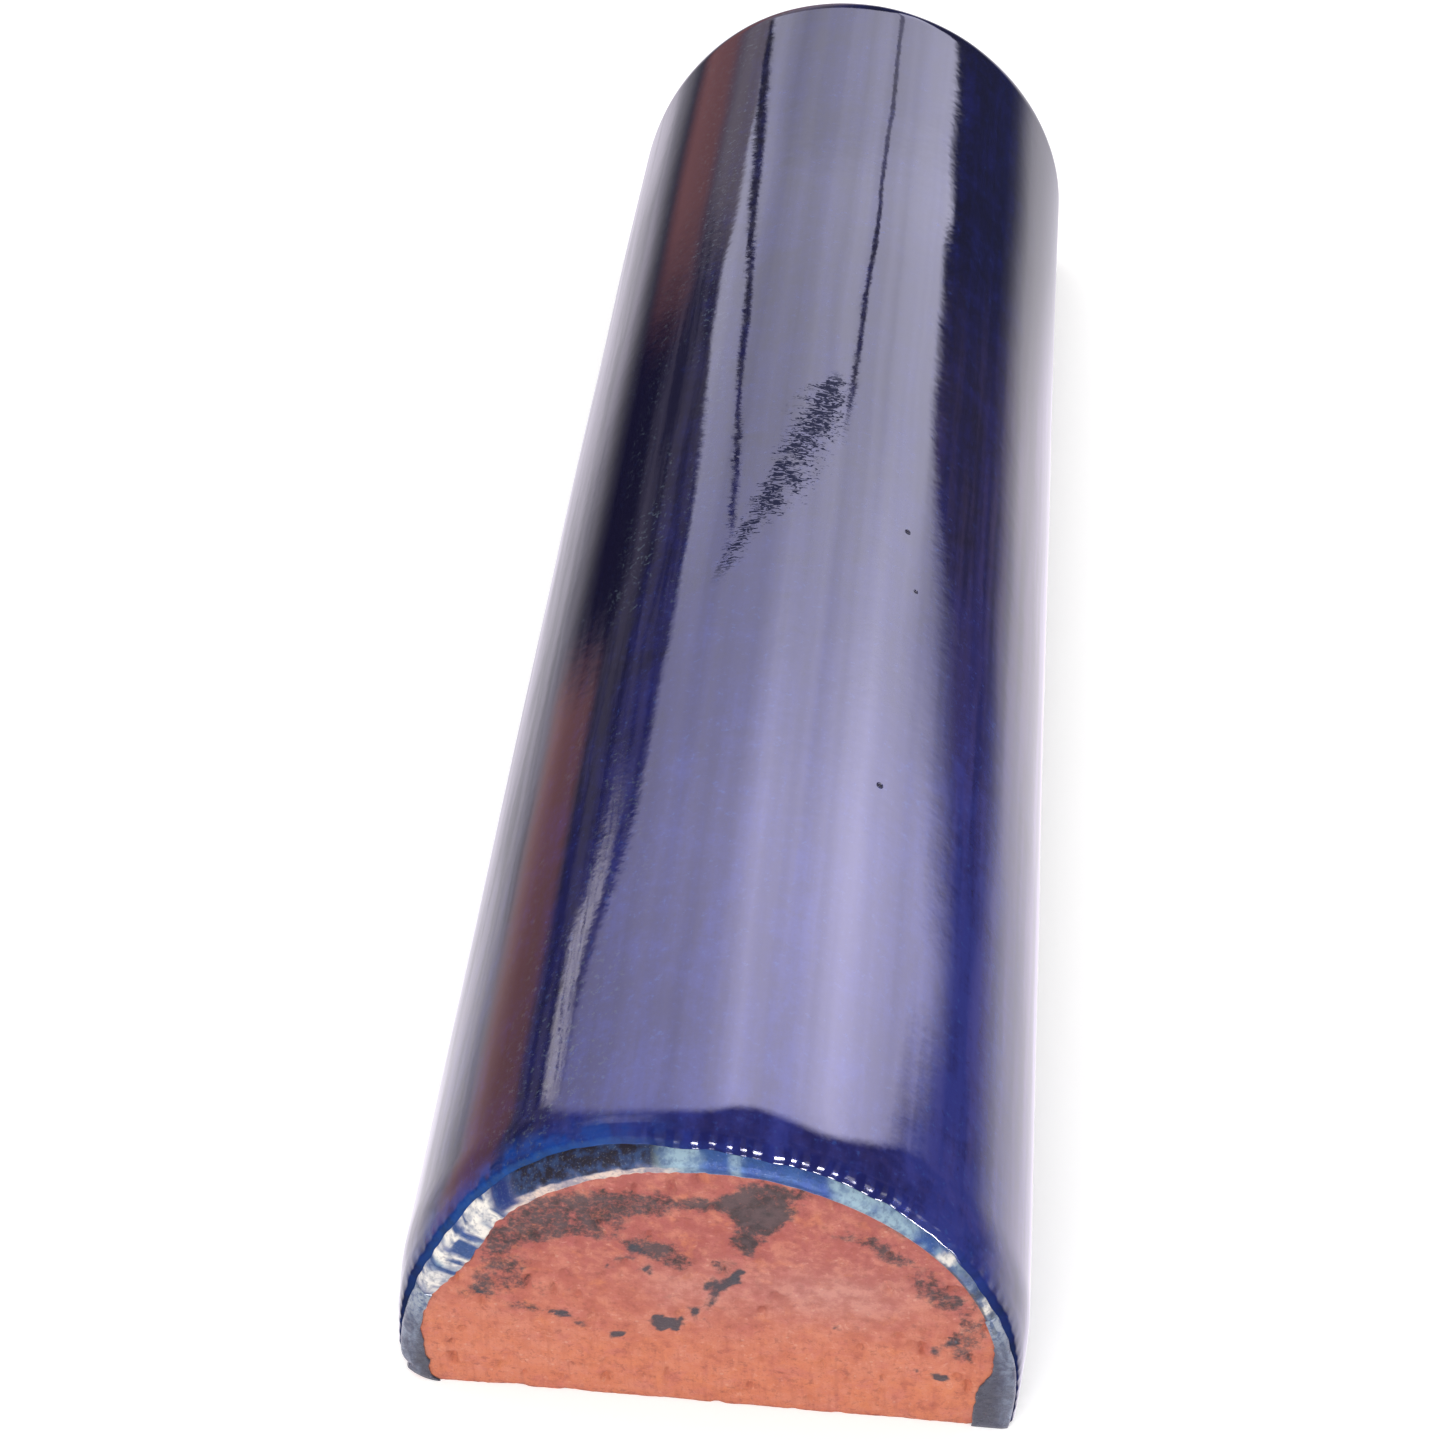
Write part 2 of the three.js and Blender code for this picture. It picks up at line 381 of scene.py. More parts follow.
def build_base_coat():
    # over the near face, its inner edge curling back to the clay
    shares = FACE_SHARES[:, None]
    depth = GLAZE + (lip_depth - GLAZE) * shares
    x, z = arch(depth)
    face_outer = place(x, FILM, z)
    curl = 1 - round_edge((1 - shares) * (lip_depth - GLAZE), 0.35)
    face_outer[..., 1] = NEAR_Y + FILM + (RECESS - FILM) * curl * 0.999
    x, z = arch(np.maximum(CLAY_DEPTH, depth))
    face_inner = place(x, FILM, z)
    face_inner[..., 1] = NEAR_Y + RECESS
    # along the bar
    rows = COAT_ROWS[:, None]
    x, z = arch(GLAZE)
    side_outer = place(x, rows, z)
    x, z = arch(CLAY_DEPTH)
    side_inner = place(x, rows, z)
    side_inner[..., 1] = NEAR_Y + np.maximum(rows, RECESS)
    outer = np.concatenate([face_outer, side_outer])
    inner = np.concatenate([face_inner, side_inner])

    # unevenness where the coat shows
    bump = 0.05 * noise(*np.moveaxis(outer * 0.9, -1, 0), seed=21)
    bump += 0.025 * noise(*np.moveaxis(outer * 2.6, -1, 0), seed=22)
    fade = np.ones(outer.shape[:2])
    fade[:4] = np.array([0, 0.2, 0.5, 0.8])[:, None]
    along = np.concatenate([np.zeros(len(FACE_SHARES)), COAT_ROWS])[:, None]
    hidden = (along > cobalt_stop - 0.15) & (along < LENGTH - 2.0)
    fade = np.where(hidden, 0, fade)
    outer = outer + grid_normals(outer) * (np.minimum(bump, 0.02) * fade)[..., None]
    outer[..., 1] = np.clip(outer[..., 1], NEAR_Y, NEAR_Y + LENGTH)
    keep_above_ground(outer)
    keep_above_ground(inner)

    across = np.concatenate([0.5 + 0.5 * shares + 0 * ARC,
                             0.5 * (1 - np.clip(rows / cobalt_stop, 0, 1))])
    return shell("light_base_coat_skin", outer, inner, coat_paint(outer, across))


# -------------------------------------------------- pooled corner glazes ----
POOL_REACH = 0.05                       # past the base coat's inner edge
POOL_SINK = 0.03                        # the pool's back lies this far below the coat
POOL_FACE = 0.09                        # thickness on the end face
POOL_FACE_SHARES = np.array([1.0, 0.96, 0.9, 0.82, 0.72, 0.6, 0.48, 0.36, 0.25, 0.15, 0.07])
POOL_SIDE_SHARES = np.array(
    [0.0, 0.05, 0.12, 0.2, 0.3, 0.42, 0.54, 0.66, 0.78, 0.88, 0.95, 1.0])


def build_pool(name, arc_from, arc_to, thickness):
    """Glaze from the cobalt's edge over the arris on to the end face, in a near corner."""
    ids = (ARC >= arc_from) & (ARC <= arc_to)
    arc = ARC[ids]
    free = (arc - arc[0]) if arc_from > 0 else (arc[-1] - arc)  # from the free upper end
    taper = smooth(0.0, 6.5, free + 0.8 * noise(arc * 0.8, 1.0, 0, seed=43))
    face, side = POOL_FACE_SHARES, POOL_SIDE_SHARES

    x, z = arch(GLAZE + (lip_depth - GLAZE + POOL_REACH) * face[:, None])
    face_path = place(x[:, ids], FILM, z[:, ids])
    end = np.maximum(cobalt_stop[ids] + 0.16, 0.5)
    x, z = arch(GLAZE)
    side_path = place(x[ids], FILM + (end - FILM) * side[:, None], z[ids])
    path = np.concatenate([face_path, side_path])

    inwards = np.concatenate([0.5 + 0.5 * face, 0.5 * (1 - side)])[:, None]
    swell = smooth(0.0, 0.45, side) * round_edge((1 - side) * 1.6, 0.5)
    cover = np.concatenate([POOL_FACE * round_edge((1 - face) * 1.6, 0.35),
                            POOL_FACE + (thickness - POOL_FACE) * swell])[:, None]
    cover = cover * (0.03 + 0.97 * taper)
    cover = cover * (1 + 0.18 * noise(arc * 0.8, inwards * 2.0, 0, seed=41))
    normals = grid_normals(path)
    outer = path + normals * cover[..., None]
    inner = path - normals * POOL_SINK
    outer[..., 1] = np.maximum(outer[..., 1], NEAR_Y)
    keep_above_ground(outer)
    keep_above_ground(inner)
    # paint: share of the way in, share of the arc, distance from the free end / 10
    return shell(name, outer, inner, channels(inwards, arc / ARC_END, free / 10))


# --------------------------------------------------------------- clay body --
# Rings of the arch and the flat underside, closed by end faces that are grids of columns.
FACE_ROWS = 84
ROW_SHARES = np.linspace(0, 1, FACE_ROWS + 1)
COLUMNS = len(ANGLES)
CLAY_HALF = HALF - CLAY_DEPTH
COLUMN_X = CLAY_HALF * np.cos(ANGLES)
COLUMN_TOP = FOOT + (HEIGHT - FOOT - CLAY_DEPTH) * np.sin(ANGLES)
FACE_IDS = np.arange((FACE_ROWS + 1) * COLUMNS).reshape(FACE_ROWS + 1, COLUMNS)
# Grid points on the border, in ring order: right foot, arch, left foot, underside.
BORDER = np.concatenate([FACE_IDS[:-1, 0], FACE_IDS[-1], FACE_IDS[:-1, -1][::-1],
                         FACE_IDS[0, ::-1][1:-1]])
FAR_GAP = 0.02                          # the far face lies this far inside the far end
CLAY_ROWS = np.concatenate([
    [RECESS, 0.3, 0.6, 1.0, 1.5, 2.2, 3.2, 5.0],
    np.linspace(9, LENGTH - 9, 34),
    LENGTH - np.array([5.0, 3.2, 2.2, 1.5, 1.0, 0.6, 0.3, FAR_GAP])])

# Stains and spots: centre x and z, radii along and across, turn in degrees, strength.
NEAR_STAINS = (
    (-11.0, 20.8, 3.6, 1.9, 32, 0.95), (-7.2, 22.8, 3.4, 1.7, 14, 1.0),
    (-3.0, 23.6, 3.2, 1.3, 4, 0.95), (0.8, 24.0, 2.0, 0.9, -4, 0.75),
    (-13.8, 17.6, 2.2, 1.7, 50, 0.8), (-8.0, 20.0, 3.0, 1.2, 15, 0.7),
    (-2.6, 18.6, 1.7, 1.2, -40, 0.8), (-1.3, 16.9, 1.1, 0.8, -20, 0.75),
    (-14.6, 13.0, 1.8, 1.0, 10, 0.55), (-11.6, 13.0, 1.5, 0.9, 0, 0.6),
    (4.4, 24.6, 2.1, 2.0, 10, 1.25), (3.9, 22.4, 1.6, 2.0, 10, 1.1),
    (3.1, 20.0, 0.9, 1.6, 20, 0.9), (5.6, 26.0, 1.5, 0.8, 0, 0.8),
    (2.0, 16.6, 1.0, 1.6, 20, 0.7), (10.6, 21.2, 3.0, 1.2, -18, 0.5),
    (13.4, 19.9, 2.2, 1.1, -30, 0.6), (15.2, 17.0, 1.9, 1.4, -50, 0.65),
    (17.6, 15.4, 1.5, 1.8, -50, 0.75), (18.9, 11.8, 1.4, 2.6, 0, 0.75),
    (19.0, 8.6, 1.0, 1.8, 0, 0.55), (13.6, 22.8, 2.0, 0.8, -30, 0.6),
    (-15.6, 11.8, 2.0, 0.9, 8, 0.6), (-12.4, 10.4, 2.2, 0.9, -5, 0.55),
    (-9.6, 9.8, 1.8, 0.8, -10, 0.45), (-13.6, 15.0, 2.4, 1.2, 20, 0.5),
    (-4.6, 18.4, 1.6, 1.0, -20, 0.7))
NEAR_SPOTS = (
    (-6.3, 8.0, 0.75, 0.42, 10, 1.2), (-5.6, 8.1, 0.5, 0.4, 0, 0.9),
    (-2.9, 9.8, 0.95, 0.75, 10, 1.3), (-2.2, 9.6, 0.6, 0.5, 0, 0.9),
    (-0.4, 11.4, 0.55, 0.7, 0, 1.25), (2.2, 15.6, 0.6, 0.9, 10, 0.9),
    (-13.8, 5.2, 0.55, 0.4, 0, 0.6), (-4.1, 5.6, 0.8, 0.4, 0, 0.55),
    (9.9, 10.7, 0.9, 0.6, 0, 0.6), (17.1, 5.8, 0.7, 0.5, 0, 1.0),
    (15.6, 5.9, 0.5, 0.35, 0, 0.6), (-11.4, 10.4, 0.7, 0.6, 0, 0.75),
    (-10.2, 9.8, 0.9, 0.5, 10, 0.6), (-8.7, 8.9, 0.9, 0.6, 0, 0.6),
    (-14.5, 9.4, 0.7, 0.5, 0, 0.5), (-16.9, 8.4, 0.6, 0.5, 0, 0.4),
    (0.9, 14.0, 0.45, 0.8, 10, 0.8), (5.9, 6.9, 1.3, 0.4, 0, 0.35),
    (-9.4, 12.2, 0.6, 0.5, 0, 0.5), (-5.3, 17.3, 0.9, 0.7, 0, 0.8),
    (-3.8, 16.0, 0.8, 0.6, 0, 0.7), (12.2, 14.8, 0.6, 0.5, 0, 0.35),
    (0.5, 12.6, 0.5, 0.6, 0, 0.6), (1.5, 14.8, 0.6, 0.9, 20, 0.95),
    (2.6, 17.0, 0.5, 0.8, 20, 0.8), (-1.4, 10.3, 0.4, 0.3, 40, 0.45),
    (-4.4, 9.0, 0.5, 0.3, 10, 0.4), (-7.6, 8.6, 0.6, 0.3, -10, 0.3),
    (-9.8, 9.9, 0.7, 0.4, -10, 0.35), (-15.8, 11.9, 0.8, 0.5, 8, 0.7),
    (-13.4, 13.0, 0.7, 0.45, 5, 0.55), (-4.6, 18.2, 1.0, 0.7, -20, 0.8),
    (-6.6, 16.2, 0.7, 0.4, 0, 0.5), (17.0, 8.6, 0.7, 1.4, 0, 0.6),
    (18.2, 10.4, 0.8, 1.0, 0, 0.75))
FAR_STAINS = (
    (6, 21, 6, 2.0, 0, 0.9), (-9, 14, 3, 3, 0, 0.6), (14, 9, 2.4, 3, 0, 0.6),
    (-3, 6, 3.5, 1.2, 0, 0.4))


def sum_blobs(x, z, table, strength=1.0, size=1.0):
    total = 0
    for centre_x, centre_z, radius_u, radius_v, turn, weight in table:
        c, s = math.cos(math.radians(turn)), math.sin(math.radians(turn))
        dx, dz = x - centre_x, z - centre_z
        u = (dx * c + dz * s) / (radius_u * size)
        v = (-dx * s + dz * c) / (radius_v * size)
        total = total + strength * weight * np.exp(-(u * u + v * v))
    return total


def end_faces():
    """The near and far end grids with their relief; the arch edge is left flat."""
    z = ROW_SHARES[:, None] * COLUMN_TOP
    near, far = place(COLUMN_X, RECESS, z), place(COLUMN_X, LENGTH - FAR_GAP, z)
    border = np.ones(z.shape)
    border[-1] = border[:, 0] = border[:, -1] = 0

    # near face: sandy skin, drag marks, pits, and the bottom edge worn and chipped
    x, z = near[..., 0], near[..., 2]
    relief = 0.06 * face_noise(x, z, 0.35, 0.2, seed=51)
    relief += 0.035 * face_noise(x, z, 1.6, 0.4, seed=52)
    relief += 0.02 * face_noise(x, z, 4.2, 0.7, seed=53, octaves=1)
    relief += 0.02 * noise(x * 0.5 + z * 0.15, z * 3.2, 0.1, seed=54)
    pits = np.maximum(0, face_noise(x, z, 1.15, 2.2, seed=55, octaves=1) - 0.62)
    relief += pits * 1.6 * smooth(0.4, 1.8, z)
    worn = smooth(0.6, 0.0, z + 0.2 * noise(x * 0.7, 0, 0, seed=56)) * 0.07
    chips = np.maximum(0, noise(x * 0.9, 3.0, 0, seed=57) - 0.45) * smooth(0.9, 0.0, z) * 0.25
    near[..., 1] += (np.clip(relief, -0.05, 0.5) + worn + chips) * border

    x, z = far[..., 0], far[..., 2]
    relief = 0.05 * face_noise(x, z, 0.35, 5.2, seed=61)
    relief += 0.03 * face_noise(x, z, 1.6, 5.4, seed=62)
    relief += np.maximum(0, face_noise(x, z, 1.05, 4.2, seed=63, octaves=1) - 0.6) * 1.4
    relief += smooth(0.9, 0.0, z + 0.25 * noise(x * 0.7, 0, 9, seed=64)) * 0.4
    far[..., 1] -= np.clip(relief, 0.0, 0.6) * border
    return near.reshape(-1, 3), far.reshape(-1, 3)


def clay_rings(near, far):
    """The long surfaces as rings, the first and last shared with the end faces."""
    underside = np.zeros(COLUMNS - 2)
    foot = np.full(FACE_ROWS, CLAY_HALF)
    x = np.concatenate([foot, COLUMN_X, -foot, COLUMN_X[::-1][1:-1]])
    z = np.concatenate([ROW_SHARES[:-1] * FOOT, COLUMN_TOP, ROW_SHARES[:-1][::-1] * FOOT,
                        underside])
    rings = place(x, CLAY_ROWS[:, None], z)
    bottom = rings[:, -len(underside):]  # a view: changes reach the rings
    x, y = bottom[..., 0], bottom[..., 1]
    relief = 0.10 * fractal(x * 0.25, y * 0.12, 0.3, seed=71)
    relief += 0.05 * fractal(x * 1.1, y * 0.5, 0.9, seed=72)
    ends = smooth(0.0, 6.0, CLAY_ROWS) * smooth(LENGTH, LENGTH - 6.0, CLAY_ROWS)
    bottom[..., 2] = np.maximum(0.0, bottom[..., 2] + np.clip(relief, 0, 0.12) * ends[:, None])
    rings[0] = near[BORDER]
    rings[-1] = far[BORDER]
    # keep the nearest rings clear of the worn bottom edges
    for ring in (1, 2):
        bottom[ring, :, 1] = np.maximum(bottom[ring, :, 1], bottom[ring - 1, :, 1] + 0.05)
    bottom[-2, :, 1] = np.minimum(bottom[-2, :, 1], bottom[-1, :, 1] - 0.05)
    keep_above_ground(rings)
    return rings


def cap(grid, ring_ids, order, first_id):
    """The inside points and the faces of an end grid whose border is a ring."""
    ids = np.full(len(grid), -1)
    ids[BORDER] = ring_ids
    inside = ids < 0
    ids[inside] = first_id + np.arange(inside.sum())
    return grid[inside], quads(ids.reshape(FACE_IDS.shape), order)


def clay_paint(points):
    """Paint channels: dark stains, dark spots, pale patches."""
    x, y, z = points.T
    near = smooth(3.0, 1.2, y - NEAR_Y)
    far = smooth(LENGTH - 3.0, LENGTH - 1.2, y - NEAR_Y)
    warped_x = (x + 0.9 * face_noise(x, z, 0.45, 0.5, seed=81)
                + 0.35 * face_noise(x, z, 1.7, 0.5, seed=83, octaves=2))
    warped_z = (z + 0.9 * face_noise(x, z, 0.45, 7.5, seed=82)
                + 0.35 * face_noise(x, z, 1.7, 7.5, seed=84, octaves=2))
    mottle = face_noise(x, z, 1.25, 3.3, seed=85, octaves=4)
    grain = face_noise(x, z, 3.4, 1.3, seed=86, octaves=2)

    def patch(centre_x, centre_z, radius_x, radius_z):
        return np.exp(-((warped_x - centre_x) / radius_x) ** 2
                      - ((warped_z - centre_z) / radius_z) ** 2)

    stain = smooth(0.06, 0.95, sum_blobs(warped_x, warped_z, NEAR_STAINS) * (1 + 0.9 * mottle))
    stain *= 0.70 + 0.30 * patch(4.2, 22.8, 2.4, 3.4)
    far_stain = sum_blobs(warped_x, warped_z, FAR_STAINS) * (1 + 0.9 * mottle)
    far_stain = smooth(0.35, 0.85, far_stain)
    spot = sum_blobs(warped_x, warped_z, NEAR_SPOTS, strength=0.95, size=1.12)
    spot = smooth(0.20, 1.0, spot * (1 + 0.85 * mottle) + 0.12 * grain)
    pale = patch(9.5, 14.5, 6.0, 3.2) + 0.6 * patch(-1.0, 14.0, 4.0, 3.0)
    paint = channels(stain * near + far_stain * far * 0.8, spot * near, pale * near)
    return np.clip(paint, 0, 1)


def build_clay():
    near, far = end_faces()
    rings = clay_rings(near, far)
    ids = np.arange(rings[..., 0].size).reshape(rings.shape[:2])
    closed = np.concatenate([ids, ids[:, :1]], axis=1)
    near_points, near_faces = cap(near, ids[0], (3, 2, 1, 0), ids.size)
    far_points, far_faces = cap(far, ids[-1], (0, 1, 2, 3), ids.size + len(near_points))
    points = np.concatenate([rings.reshape(-1, 3), near_points, far_points])
    faces = np.concatenate([quads(closed, REVERSED), near_faces, far_faces])
    return make_mesh("clay_body_bar", points, faces, clay_paint(points))


# ------------------------------------------------------------ shader nodes --
class Field:
    """An output socket; arithmetic and methods on it add nodes to its tree."""

    def __init__(self, tree, socket):
        self.tree = tree
        self.socket = socket

    def __add__(self, other):
        return math_node("ADD", self, other)

    def __radd__(self, other):
        return math_node("ADD", other, self)

    def __sub__(self, other):
        return math_node("SUBTRACT", self, other)

    def __rsub__(self, other):
        return math_node("SUBTRACT", other, self)

    def __mul__(self, other):
        return math_node("MULTIPLY", self, other)

    def __truediv__(self, other):
        return math_node("DIVIDE", self, other)

    def fade(self, start, end, low=0.0, high=1.0, kind="SMOOTHSTEP"):
        """Eased step from low at start to high at end."""
        return add_node(self.tree, "ShaderNodeMapRange", {
            "Value": self, "From Min": start, "From Max": end, "To Min": low, "To Max": high,
        }, interpolation_type=kind)

    def ramp(self, start, end, low=0.0, high=1.0):
        """Straight clamped ramp from low at start to high at end."""
        return self.fade(start, end, low, high, "LINEAR")

    def curve(self, low, high, points):
        """Piecewise linear through (position, value) points, values between low and high."""
        first, last = points[0][0], points[-1][0]
        result = add_node(self.tree, "ShaderNodeValToRGB", {0: self.ramp(first, last)})
        stops = result.socket.node.color_ramp.elements
        for k, (position, value) in enumerate(points):
            if 0 < k < len(points) - 1:
                stop = stops.new((position - first) / (last - first))
            else:
                stop = stops[len(stops) - 1 if k else 0]
            grey = (value - low) / (high - low)
            stop.color = (grey, grey, grey, 1)
        return result.ramp(0.0, 1.0, low, high)

    def scaled(self, x, y, z):
        return add_node(self.tree, "ShaderNodeVectorMath", {0: self, 1: (x, y, z)},
                        operation="MULTIPLY")

    def noise(self, scale, detail=2.0, rough=0.5, distortion=0.0):
        return add_node(self.tree, "ShaderNodeTexNoise", {
            "Vector": self, "Scale": scale, "Detail": detail, "Roughness": rough,
            "Distortion": distortion})

    def split(self, kind="ShaderNodeSeparateXYZ"):
        node = add_node(self.tree, kind, {0: self}).socket.node
        return [Field(self.tree, socket) for socket in node.outputs]

    def bump(self, distance):
        return add_node(self.tree, "ShaderNodeBump",
                        {"Strength": 1.0, "Distance": distance, "Height": self})


def add_node(tree, kind, inputs=None, output=0, **settings):
    """Adds a node, feeds its inputs, and returns one output if it has any."""
    node = tree.nodes.new(kind)
    for name, value in settings.items():
        setattr(node, name, value)
    for key, value in (inputs or {}).items():
        socket = node.inputs[key]
        if isinstance(value, Field):
            tree.links.new(value.socket, socket)
        elif socket.type == "RGBA":
            socket.default_value = (*value, 1.0)
        else:
            socket.default_value = value
    return Field(tree, node.outputs[output]) if len(node.outputs) else None


def tree_of(*values):
    return next(value.tree for value in values if isinstance(value, Field))


def math_node(operation, *values):
    return add_node(tree_of(*values), "ShaderNodeMath", dict(enumerate(values)),
                    operation=operation)


def mix(share, first, second, blend="MIX"):
    return add_node(tree_of(share, first), "ShaderNodeMix", {0: share, 6: first, 7: second},
                    2, data_type="RGBA", blend_type=blend)


def lay_over(colour, layers):
    """Lays (share, colour) layers over a colour, one after another."""
    for share, layer in layers:
        colour = mix(share, colour, layer)
    return colour


def empty_tree(owner):
    owner.use_nodes = True
    owner.node_tree.nodes.clear()
    return owner.node_tree


def start_material(name):
    """A new material, the position in millimetres and the mesh's paint."""
    material = bpy.data.materials.new(name)
    tree = empty_tree(material)
    position = add_node(tree, "ShaderNodeTexCoord", output="Object").scaled(1000, 1000, 1000)
    paint = add_node(tree, "ShaderNodeAttribute", output="Color", attribute_name="paint")
    return material, position, paint


def finish_material(material, inputs):
    shader = add_node(material.node_tree, "ShaderNodeBsdfPrincipled", inputs)
    add_node(material.node_tree, "ShaderNodeOutputMaterial", {0: shader})
    return material


# -------------------------------------------------------------- materials --
# Centre and size of the pinholes in the cobalt glaze.
PINHOLES = (
    ((10.27, -7.76, 27.81), 0.26), ((11.33, -14.50, 27.19), 0.20), ((9.83, -37.81, 27.93), 0.25))


def glaze_material():
    """Cobalt: darker down both sides and to the far end, brighter at the near left edge."""
    material, position, paint = start_material("cobalt_glaze_gloss")
    edge_share, arc_share, length_share = paint.split("ShaderNodeSeparateColor")
    edge = edge_share * 10.0            # mm from the glaze's near edge
    arc = arc_share * ARC_END           # mm over the arch from the right foot
    streaks = position.scaled(1.0, 0.06, 1.0).noise(scale=0.5, detail=4.0, rough=0.6)
    thin_streaks = position.scaled(1.0, 0.04, 1.0).noise(scale=1.7, detail=3.0, rough=0.6)
    mottled = position.noise(scale=0.28, detail=4.0, rough=0.62, distortion=0.5)
    fine = position.noise(scale=1.7, detail=4.0, rough=0.7)

    # tone: low is dark, high is bright
    tone = streaks * 0.30 + (thin_streaks * 0.14 + mottled * 0.36)
    tone = tone + fine * 0.20
    tone = tone + arc.curve(-0.3, 0.1, (
        (0, -0.26), (12, -0.20), (19, -0.10), (24, -0.04), (30, -0.06), (38, -0.04), (48, -0.01),
        (52, -0.06), (56, -0.20), (60, -0.25), (66, -0.26), (72, -0.26), (78, -0.27),
        (86, -0.28)))
    tone = tone + length_share.curve(-0.2, 0.1, (
        (0.0, 0.09), (0.2, 0.07), (0.33, 0.0), (0.45, -0.08), (0.6, -0.12), (0.75, -0.13),
        (1.0, -0.14)))
    bright_right = arc.curve(0.0, 0.2, (
        (0, 0.0), (15, 0.0), (19, 0.10), (26, 0.10), (31, 0.0), (86, 0.0)))
    tone = tone + bright_right * length_share.fade(0.55, 0.20)

    # the last millimetres before the near edge, and the edge itself
    thin = (edge + (mottled - 0.5) * 2.0).fade(2.4, 0.5)
    thinnest = (edge + (fine - 0.5) * 0.5).fade(0.30, 0.02)
    left_thin = arc.curve(0, 1, (
        (0, 0.1), (12, 0.2), (20, 0.2), (26, 0.05), (42, 0.05), (46, 0.30), (50, 0.75),
        (58, 0.85), (66, 0.6), (74, 0.25), (86, 0.1)))
    patchy = position.noise(scale=0.55, detail=3.0, rough=0.6).fade(0.40, 0.60)
    # speckles along the left shoulder
    flecks = position.noise(scale=1.9, detail=5.0, rough=0.78).fade(0.555, 0.63) * arc.curve(
        0, 1, ((0, 0.0), (48, 0.0), (51, 0.6), (54, 0.9), (59, 0.5), (63, 0.15), (70, 0.0),
               (86, 0.0)))
    fleck_gaps = position.scaled(1.0, 0.15, 1.0).noise(scale=0.35, detail=2.0, rough=0.5)
    flecks = flecks * fleck_gaps.fade(0.42, 0.55)
    pit = None
    for centre, size in PINHOLES:
        distance = add_node(material.node_tree, "ShaderNodeVectorMath",
                            {0: position, 1: centre}, "Value", operation="DISTANCE")
        hole = distance.fade(size * 1.25, size * 0.6)
        pit = math_node("MAXIMUM", pit, hole) if pit else hole

    # a dimpled strip slanting over the crown; lie is 0 on its centre line, 1 at its sides
    x, y, _ = position.split()
    from_line = x - y.curve(-6, 6, (
        (-20, -5.2), (-13.6, -3.4), (-7.6, -1.6), (-0.5, 0.5), (3, 1.9), (7, 2.7), (11, 3.2)))
    width_right = y.curve(0, 4, (
        (-20, 0.8), (-13, 1.1), (-8, 2.6), (-5, 3.3), (-1, 2.8), (2, 2.3), (5, 2.1), (8, 1.5),
        (11, 0.3)))
    width_left = y.curve(0, 4, (
        (-20, 0.8), (-13, 1.0), (-6, 1.2), (0, 1.7), (4, 2.5), (7, 2.3), (9, 1.4), (11, 0.3)))
    lie = math_node("MAXIMUM", from_line / width_right, (from_line / width_left) * -1.0)
    lie = lie + (position.noise(scale=0.7, detail=2.0, rough=0.6) - 0.5) * 0.9
    strip_ends = y.fade(-19.0, -15.0) * y.fade(11.0, 9.0)
    strip = lie.fade(1.5, 0.9) * strip_ends
    dimple = position.scaled(1.0, 2.3, 1.0).noise(scale=1.0, rough=0.55, distortion=0.9)
    # ragged marks in the strip that take the shine off
    marks = position.scaled(1.15, 2.9, 1.15).noise(scale=1.0, rough=0.6, distortion=1.6)
    marks = marks + (lie.fade(1.1, 0.1, -0.085, 0.095) + y.ramp(-16.0, 6.0, -0.02, 0.03))
    marks = marks.fade(0.53, 0.58) * (lie.fade(1.35, 1.0) * strip_ends)

    body = mix(tone.fade(0.24, 0.52), (0.0085, 0.0075, 0.020), (0.013, 0.013, 0.082))
    body = lay_over(body, (
        (tone.fade(0.48, 0.68), (0.022, 0.028, 0.170)),
        (fine.fade(0.58, 0.72) * tone.fade(0.26, 0.60, 0.10, 0.45), (0.030, 0.075, 0.250)),
        (fine.fade(0.40, 0.28) * 0.45, (0.012, 0.010, 0.050)),
        (thin * (left_thin * (0.35 + patchy * 0.65)), (0.006, 0.045, 0.240)),
        ((thinnest * 0.35) * left_thin, (0.06, 0.15, 0.36)),
        (flecks * 0.65, (0.080, 0.105, 0.130)),
        (pit, (0.004, 0.004, 0.012)),
        (marks, (0.007, 0.009, 0.034))))

    # the near edge is beaded over the crown, bright only on the crests
    bead_noise = position.scaled(1.0, 0.2, 1.0).noise(scale=0.5, detail=2.0, rough=0.5)
    crest = math_node("SINE", arc * 5.6 + bead_noise * 9.0)
    between = crest.fade(0.45, -0.15) * (edge.fade(1.0, 0.7) * arc.curve(
        0, 1, ((0, 0.0), (24, 0.0), (28, 1.0), (46, 1.0), (49, 0.0), (86, 0.0))))
    rough = position.noise(scale=0.8, detail=3.0, rough=0.6).ramp(0.3, 0.7, 0.030, 0.070)
    rough = math_node("MAXIMUM", rough, edge.fade(0.9, 0.5) * arc.curve(
        0, 1, ((0, 0.0), (22, 0.0), (26, 0.20), (48, 0.20), (52, 0.0), (86, 0.0))))
    # and dull elsewhere
    dull = edge.fade(0.34, 0.18) * arc.curve(
        0, 1, ((0, 1.0), (21, 1.0), (26, 0.0), (48, 0.0), (52, 1.0), (86, 1.0)))
    gloss = (0.5 - between * 0.5) * (1.0 - marks * 0.94)
    height = position.noise(scale=0.9) * 0.8 + position.noise(scale=3.2) * 0.12
    height = height + (dimple * strip) * 0.50
    return finish_material(material, {
        "Base Color": body,
        "Roughness": math_node("MAXIMUM", rough, pit * 0.8),
        "IOR": 1.60,
        "Specular IOR Level": gloss * (1.0 - dull),
        "Normal": (height - pit * 20.0).bump(distance=0.0000065)})


